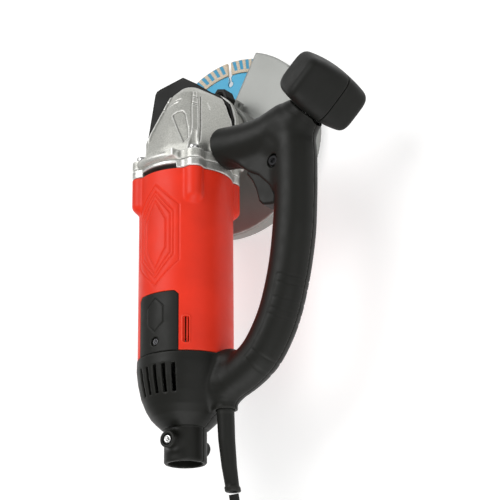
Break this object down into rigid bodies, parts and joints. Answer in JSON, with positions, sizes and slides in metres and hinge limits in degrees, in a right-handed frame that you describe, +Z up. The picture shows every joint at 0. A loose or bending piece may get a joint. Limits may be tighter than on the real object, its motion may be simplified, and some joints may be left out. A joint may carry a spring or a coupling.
{
  "type": "angle grinder",
  "caption": "Angle grinder with a D-shaped grip, a turning palm knob, a diamond cutting disc under an open guard, and a clamping pole socket at its rear.",
  "frame": {"origin": "on the ground under the middle of the tool, measured without its cord; the edge of the guard is at the ground", "axes": "+X from the motor towards the D-shaped grip, +Y along the motor towards the gear head, +Z up, with the disc below"},
  "size_m": [0.2478, 0.5967, 0.1129],
  "materials": {
    "cast_aluminium": "sand-cast, lightly polished on its ribs",
    "red_housing": "satin moulded nylon",
    "black_plastic": "fine spark texture",
    "soft_black": "matt soft-touch",
    "bright_steel": "zinc plated",
    "dark_steel": "blackened",
    "guard_paint": "satin grey paint",
    "disc_blue": "satin paint on a steel core",
    "laminations": "stacked sheet",
    "copper": "enamelled wire and bars",
    "brass": "pressed sheet",
    "carbon": "pressed carbon"
  },
  "bodies": {
    "housing": {"gear_housing": "cast_aluminium", "bearing_plate": "cast_aluminium", "bearing_cover": "cast_aluminium", "motor_housing": "red_housing", "chip_shield": "black_plastic", "brush_cover_upper": "black_plastic", "brush_cover_lower": "black_plastic", "rear_casing_upper": "black_plastic", "handle_shell_upper": "black_plastic", "handle_shell_lower": "black_plastic", "switch_body": "black_plastic", "cord_boot": "soft_black", "power_cord": "soft_black", "cord_coil": "soft_black", "plug_body": "soft_black", "gearcase_screw_1": "bright_steel", "gearcase_screw_2": "bright_steel", "gearcase_screw_3": "bright_steel", "gearcase_screw_4": "bright_steel", "brush_cover_screw_upper": "bright_steel", "brush_cover_screw_lower": "bright_steel", "pole_clamp_screw_upper": "bright_steel", "pole_clamp_screw_lower": "bright_steel", "trigger_pin": "bright_steel", "arm_bolt": "bright_steel", "knob_bolt": "bright_steel", "spindle_bearing_upper": "bright_steel", "spindle_bearing_lower": "bright_steel", "spindle_lock_spring": "bright_steel", "rotor_bearing_front": "bright_steel", "rotor_bearing_rear": "bright_steel", "plug_pin_1": "bright_steel", "plug_pin_2": "bright_steel", "handle_screw_1": "dark_steel", "handle_screw_2": "dark_steel", "handle_screw_3": "dark_steel", "arm_washer": "dark_steel", "stator_core": "laminations", "field_coil_upper": "copper", "field_coil_lower": "copper", "brush_holder_upper": "brass", "brush_holder_lower": "brass", "carbon_brush_upper": "carbon", "carbon_brush_lower": "carbon"},
    "spindle_set": {"spindle": "bright_steel", "crown_gear": "dark_steel", "inner_flange": "bright_steel", "diamond_blade": "disc_blue", "lock_nut": "dark_steel"},
    "rotor": {"rotor_shaft": "bright_steel", "pinion": "dark_steel", "armature_core": "laminations", "commutator": "copper", "cooling_fan": "black_plastic"},
    "trigger_body": {"trigger": "black_plastic"},
    "palm_knob": {"knob_body": "soft_black", "knob_cap": "soft_black"},
    "guard_body": {"guard": "guard_paint"},
    "clamp_lever": {"guard_lever": "black_plastic"},
    "lock_button": {"spindle_lock_button": "black_plastic"}
  },
  "joints": [
    {"name": "spindle_spin", "type": "hinge", "parent": "housing", "child": "spindle_set", "pos_m": [-0.03889, 0.1005, 0.075], "axis": [0, 0, 1], "continuous": true},
    {"name": "rotor_spin", "type": "hinge", "parent": "housing", "child": "rotor", "pos_m": [-0.03889, 0.1005, 0.075], "axis": [0, 1, 0], "continuous": true},
    {"name": "trigger_squeeze", "type": "hinge", "parent": "housing", "child": "trigger_body", "pos_m": [0.03011, 0.04, 0.075], "axis": [0, 0, 1], "range_deg": [0, 6], "stiffness_Nm_per_rad": 1.5, "springref_deg": -5.73},
    {"name": "knob_turn", "type": "hinge", "parent": "housing", "child": "palm_knob", "pos_m": [0.08681, 0.0935, 0.075], "axis": [0.7218, 0.6921, 0], "range_deg": [-62, 28]},
    {"name": "guard_turn", "type": "hinge", "parent": "housing", "child": "guard_body", "pos_m": [-0.03889, 0.1005, 0.015], "axis": [0, 0, 1], "range_deg": [-60, 60]},
    {"name": "guard_lever_turn", "type": "hinge", "parent": "guard_body", "child": "clamp_lever", "pos_m": [-0.03029, 0.1299, 0.035], "axis": [0, 0, 1], "range_deg": [0, 30]},
    {"name": "spindle_lock_press", "type": "slide", "parent": "housing", "child": "lock_button", "axis": [1, 0, 0], "range_m": [0, 0.0025], "stiffness_N_per_m": 800, "springref_m": -0.002, "deforming": ["spindle_lock_spring"]}
  ],
  "couplings": [
    {"joint": "rotor_spin", "follows": "spindle_spin", "ratio": -3}
  ]
}
